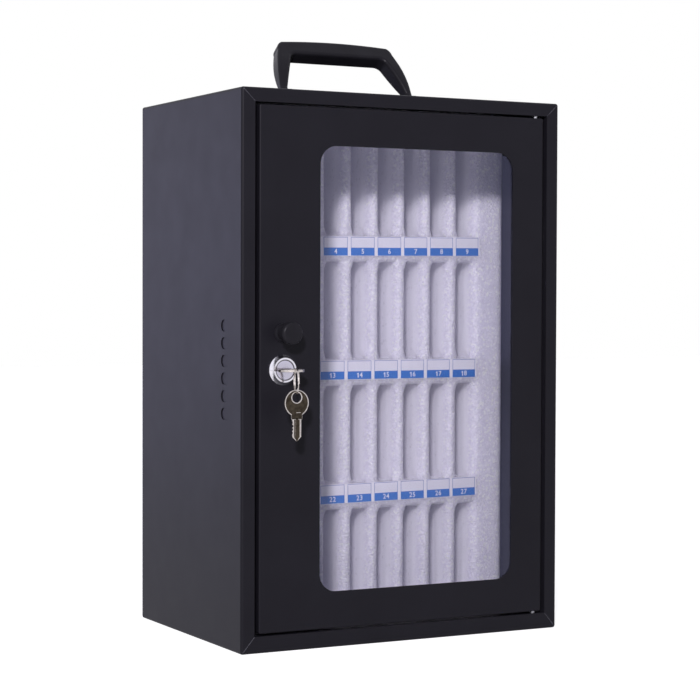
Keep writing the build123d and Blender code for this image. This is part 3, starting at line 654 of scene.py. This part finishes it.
# Only the face turned to the eye reflects, because the rays aren't bent on their way through.
facing = tree.nodes.new("ShaderNodeNewGeometry")
front_only = tree.nodes.new("ShaderNodeMath")
front_only.operation = "SUBTRACT"
front_only.use_clamp = True
tree.links.new(edge_on.outputs["Fac"], front_only.inputs[0])
tree.links.new(facing.outputs["Backfacing"], front_only.inputs[1])
mix = tree.nodes.new("ShaderNodeMixShader")
tree.links.new(front_only.outputs["Value"], mix.inputs["Fac"])
tree.links.new(clear.outputs["BSDF"], mix.inputs[1])
tree.links.new(gloss.outputs["BSDF"], mix.inputs[2])
tree.links.new(mix.outputs["Shader"], tree.nodes["Material Output"].inputs["Surface"])
dress(pane, "window_pane")

# The same zinc plating is on the nuts, screws, cam and handle pins.
zinc, tree, skin = new_finish("zinc_plate", metal=1.0)
tone(tree, skin, 0.004, (0.40, 0.40, 0.42), (0.60, 0.60, 0.62), 4)
polish(tree, skin, 0.002, 0.3, 0.5)
dress(
    zinc,
    "pane_clips",
    "clip_studs",
    "clip_nuts",
    "knob_screw",
    "lock_nut",
    "lock_cam",
    "cam_screw",
    "bracket_bolts",
    "bracket_nuts",
    "handle_pin_left",
    "handle_pin_right",
)

# ---------------------------------------------------------------- door pivots
# Turned steel pivots are riveted into the door's flanges and run in the frame's lips; the
# shoulders show as bright rings in the gaps above and below the door.
steel, tree, skin = new_finish("turned_steel", metal=1.0)
tone(tree, skin, 0.002, (0.30, 0.30, 0.32), (0.42, 0.42, 0.44))
polish(tree, skin, 0.0008, 0.2, 0.36, 3, (1, 1, 6))
dress(steel, "pivot_upper", "pivot_lower")

# ---------------------------------------------------------------- knob and carrying handle
# Both are moulded in black plastic with a fine matt grain. The handle folds on two pins between
# the ears of its roof brackets, which are painted with the cabinet.
plastic, tree, skin = new_finish("black_moulding", 0.1)
tone(tree, skin, 0.02, (0.0125, 0.012, 0.015), (0.0165, 0.016, 0.020))
polish(tree, skin, 0.003, 0.27, 0.36)
bump(tree, skin, grain(tree, 0.0007), 0.00003, 0.5)
dress(plastic, "door_knob", "handle")
dress(coat, "bracket_left", "bracket_right")

# ---------------------------------------------------------------- cam lock
# Die-cast housing and plug, polished and chromed; the bezel sits on the door and a flat nut
# behind it clamps the lock. The slot in the plug's face is level.
lock_x, lock_z = -0.113, 0.2259
bezel_r = 0.012
chrome, tree, skin = new_finish("lock_chrome", metal=1.0)
skin.inputs["Base Color"].default_value = (0.72, 0.72, 0.75, 1)
# Distance from the lock's axis: the plug's face is toned a little darker, a narrow dark ring round it
# is painted shade in the joint between plug and housing, and the bezel outside is bright.
where = tree.nodes.new("ShaderNodeTexCoord")
centred = tree.nodes.new("ShaderNodeMapping")
centred.inputs["Location"].default_value = (-lock_x, 0, -lock_z)
centred.inputs["Scale"].default_value = (1, 0, 1)
tree.links.new(where.outputs["Object"], centred.inputs["Vector"])
reach = tree.nodes.new("ShaderNodeVectorMath")
reach.operation = "LENGTH"
tree.links.new(centred.outputs["Vector"], reach.inputs[0])
share = tree.nodes.new("ShaderNodeMapRange")
share.inputs["From Max"].default_value = bezel_r
tree.links.new(reach.outputs["Value"], share.inputs["Value"])
tree.links.new(
    ramp(
        tree,
        share.outputs["Result"],
        [
            # The dark stops at 0.65 to 0.69 are painted shade in the joint round the plug.
            (0.0, (0.58, 0.56, 0.66)), (0.62, (0.66, 0.64, 0.74)), (0.65, (0.16, 0.15, 0.18)),
            (0.69, (0.14, 0.13, 0.16)), (0.72, (0.86, 0.85, 0.9)), (1.0, (0.9, 0.89, 0.94)),
        ],
    ),
    skin.inputs["Base Color"],
)
polish(tree, skin, 0.0015, 0.08, 0.2)
dress(chrome, "lock_housing", "lock_plug")

# ---------------------------------------------------------------- keys
# Two nickel-plated keys stamped from 2 mm blanks: a round bow with a raised rim and a hole near
# its edge, a square neck, and a grooved blade with four cuts. Rims and edges are worn bright.
bow_x, bow_r = -0.013, 0.0105
hole_x, hole_r = -0.0173, 0.004
half_t = 0.001
sunk_face = 0.76
blade_half_w, groove_y, cut_pitch = 0.0039, 0.0017, 0.0027
nickel, tree, skin = new_finish("worn_nickel_edge", metal=1.0)
tone(tree, skin, 0.002, (0.5, 0.46, 0.42), (0.72, 0.68, 0.64), 3)
polish(tree, skin, 0.0008, 0.15, 0.35)
tarnish, tree, skin = new_finish("tarnished_nickel_face", metal=1.0)
tone(tree, skin, 0.003, (0.03, 0.024, 0.017), (0.075, 0.062, 0.045), 4)
polish(tree, skin, 0.0012, 0.28, 0.45)


def key_mesh(name, seat):
    bm = bmesh.new()
    # Bow: rings run from the edge of the hole out to the rim, on both faces. The raised bands
    # along the hole and the edge keep one width all round.
    band_in, band_out = hole_r + 0.0009, bow_r - 0.0008
    side = [
        (hole_r, 0.0, 0.7), (hole_r + 0.0002, 0.0, 0.95), (hole_r + 0.0007, 0.0, 1.0),
        (band_in, 0.0, sunk_face), (None, 0.5, sunk_face), (band_out, 1.0, sunk_face),
        (bow_r - 0.0006, 1.0, 1.0), (bow_r - 0.0002, 1.0, 0.96), (bow_r, 1.0, 0.7),
    ]
    around = 56
    rings = []
    for radius, share, height in side + [(r, s, -h) for r, s, h in reversed(side)]:
        reach = radius or (band_in + band_out) / 2
        ring = []
        for k in range(around):
            a = 2 * pi * k / around
            x = hole_x * (1 - share) + bow_x * share + reach * cos(a)
            ring.append(bm.verts.new((x, reach * sin(a), height * half_t)))
        rings.append(ring)
    for a, b in zip(rings, rings[1:] + rings[:1]):
        for k in range(around):
            n = (k + 1) % around
            made = bm.faces.new([a[k], a[n], b[n], b[k]])
            sunk = all(abs(abs(v.co.z) / half_t - sunk_face) < 0.01 for v in made.verts)
            made.material_index = 1 if sunk else 0
    # Neck with a short raised mark on each face.
    neck = slab(bm, -0.0069, 0.0, -0.0048, 0.0048, -half_t, half_t)
    edges = list({e for v in neck for e in v.link_edges})
    bmesh.ops.bevel(bm, geom=edges, offset=0.0003, segments=2, affect="EDGES")
    mark = slab(bm, -0.0056, -0.0052, -0.0006, 0.0032, -half_t - 0.00012, half_t + 0.00012)
    bright = set(mark)
    # Blade: the same cross-section at every station, narrowed by the cuts and drawn to a point.
    stations = [(-0.001, 0.0, 1.0)]
    for cut in range(4):
        deep = (0.5 + 0.5 * (cut * 2 % 3) / 2) / 1000
        mid = 0.0024 + cut * cut_pitch
        stations += [
            (mid - 0.0011, 0.0, 1.0), (mid - 0.00045, deep, 1.0),
            (mid + 0.00045, deep, 1.0), (mid + 0.0011, 0.0, 1.0),
        ]
    stations += [(0.0137, 0.0, 1.0), (0.0154, 0.0, 0.56), (0.0171, 0.0, 0.1)]
    rows = []
    for x, deep, narrow in stations:
        low, high = -blade_half_w * narrow + deep, blade_half_w * narrow
        tops = [(low, 0.75), (low + 0.00022, 1.0)]
        for groove in (-groove_y, groove_y):
            for dy, h in ((-0.0008, 1.0), (-0.0006, 0.6), (0.0006, 0.6), (0.0008, 1.0)):
                tops.append(((groove + dy) * narrow, h))
        tops += [(high - 0.00022, 1.0), (high, 0.75)]
        section = [(y, h * half_t) for y, h in tops] + [(y, -h * half_t) for y, h in reversed(tops)]
        rows.append([bm.verts.new((x, y, z)) for y, z in section])
    for a, b in zip(rows, rows[1:]):
        for k in range(len(a)):
            n = (k + 1) % len(a)
            made = bm.faces.new([a[k], a[n], b[n], b[k]])
            made.material_index = 1 if k % 12 in (3, 5, 7) else 0
    bm.faces.new(rows[0])
    bm.faces.new(rows[-1])
    for flat in bm.faces:
        if all(-0.0067 < v.co.x < -0.0003 for v in flat.verts) and not bright & set(flat.verts):
            flat.material_index = 1 if all(abs(v.co.y) < 0.00455 for v in flat.verts) else 0
    bmesh.ops.transform(bm, matrix=seat, verts=bm.verts)
    obj = piece(name, bm, nickel, tarnish)
    obj.data.shade_smooth()
    obj.data.set_sharp_from_angle(angle=radians(25))
    return obj


shoulder_y = -0.1067
rim_y = -0.1291
hanging_z = 0.18775
in_lock = Matrix(((0, -1, 0, lock_x), (1, 0, 0, shoulder_y), (0, 0, 1, lock_z), (0, 0, 0, 1)))
hanging = Matrix(((0, 1, 0, lock_x), (0, 0, -1, rim_y), (-1, 0, 0, hanging_z), (0, 0, 0, 1)))
key = key_mesh("lock_key", in_lock)
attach(key, "lock_core")
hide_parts("key_in_lock")
spare = key_mesh("hanging_key", hanging)
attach(spare, "spare_key")
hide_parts("spare_key")

# ---------------------------------------------------------------- split ring
# Two turns of flattened spring wire lying against each other, ends cut square; it passes through
# the bow of the key in the lock and carries the second key.
ring_turn = radians(17)
ring_mid = Vector((lock_x, rim_y, lock_z - 0.008))
along = Vector((sin(ring_turn), cos(ring_turn), 0))
axle = along.cross(Vector((0, 0, 1)))
bm = bmesh.new()
wire_w, wire_t, radius = 0.00074, 0.0012, 0.00985
steps, turns, first_end = 168, 1.94, radians(-150)
pressed = 1.35
section = [
    (wire_w / 2 * max(-1, min(1, pressed * cos(a))), wire_t / 2 * max(-1, min(1, pressed * sin(a))))
    for a in [2 * pi * (k + 0.5) / 12 for k in range(12)]
]
loops = []
for s in range(steps + 1):
    share = s / steps
    angle = first_end + 2 * pi * turns * share
    side = wire_w * 0.515 * max(-1.0, min(1.0, (share - 0.5) * 9))
    out = along * cos(angle) + Vector((0, 0, sin(angle)))
    loops.append(
        [bm.verts.new(ring_mid + out * (radius + t) + axle * (side + w)) for w, t in section]
    )
for a, b in zip(loops, loops[1:]):
    for k in range(12):
        n = (k + 1) % 12
        bm.faces.new([a[k], a[n], b[n], b[k]])
bm.faces.new(loops[0])
bm.faces.new(loops[-1])
coil = piece("split_ring", bm, nickel)
coil.data.shade_smooth()
coil.data.set_sharp_from_angle(angle=radians(40))
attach(coil, "key_ring")
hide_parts("key_ring")

# ---------------------------------------------------------------- studio
# White sweep and background; the world is white to the eye and dimmer as light. A small lamp
# stands at the front left, above the door, and a large, weak and bluish one behind on the left.
bm = bmesh.new()
bmesh.ops.create_grid(bm, x_segments=2, y_segments=2, size=6)
floor_mat, tree, skin = new_finish("studio_white", 0.2)
skin.inputs["Base Color"].default_value = (0.9, 0.9, 0.9, 1)
skin.inputs["Roughness"].default_value = 0.6
skin.inputs["Emission Color"].default_value = (1, 1, 1, 1)
# The floor is bright to the eye and half as bright in what it lends to the gloss.
path = tree.nodes.new("ShaderNodeLightPath")
shown = tree.nodes.new("ShaderNodeMath")
shown.operation = "MULTIPLY_ADD"
shown.inputs[1].default_value = 0.5
tree.links.new(path.outputs["Is Glossy Ray"], shown.inputs[0])
tree.links.new(path.outputs["Is Camera Ray"], shown.inputs[2])
tree.links.new(spread(tree, shown.outputs["Value"], 0.0, 0.8), skin.inputs["Emission Strength"])
floor_obj = piece("floor", bm, floor_mat)
floor_obj.location = (0, 0, -0.0001)

world = bpy.data.worlds.new("studio")
bpy.context.scene.world = world
world.use_nodes = True
tree = world.node_tree
back = tree.nodes["Background"]
path = tree.nodes.new("ShaderNodeLightPath")
seen = tree.nodes.new("ShaderNodeMath")
seen.operation = "MAXIMUM"
tree.links.new(path.outputs["Is Camera Ray"], seen.inputs[0])
tree.links.new(path.outputs["Is Glossy Ray"], seen.inputs[1])
seen_through = tree.nodes.new("ShaderNodeMath")
seen_through.operation = "MAXIMUM"
tree.links.new(seen.outputs["Value"], seen_through.inputs[0])
tree.links.new(path.outputs["Is Transmission Ray"], seen_through.inputs[1])
tree.links.new(spread(tree, seen_through.outputs["Value"], 0.15, 1.0), back.inputs["Strength"])
tree.links.new(
    ramp(tree, path.outputs["Is Camera Ray"], [(0.0, (0.94, 0.93, 1.0)), (1.0, (1, 1, 1))]),
    back.inputs["Color"],
)


def softbox(name, size, power, spot, aim, colour=(1, 1, 1)):
    lamp = bpy.data.lights.new(name, "AREA")
    lamp.shape = "RECTANGLE"
    lamp.size, lamp.size_y = size
    lamp.energy = power
    lamp.color = colour
    obj = bpy.data.objects.new(name, lamp)
    bpy.context.scene.collection.objects.link(obj)
    obj.location = spot
    obj.rotation_euler = (Vector(aim) - Vector(spot)).to_track_quat("-Z", "Y").to_euler()


softbox("key_light", (0.22, 0.22), 61, (-1.45, -2.23, 1.255), (0.02, 0, 0.22), (0.96, 0.92, 1.0))
softbox("side_light", (0.9, 1.0), 7.2, (-1.35, 1.95, 0.32), (-0.1, 0, 0.3), (0.55, 0.55, 1.0))
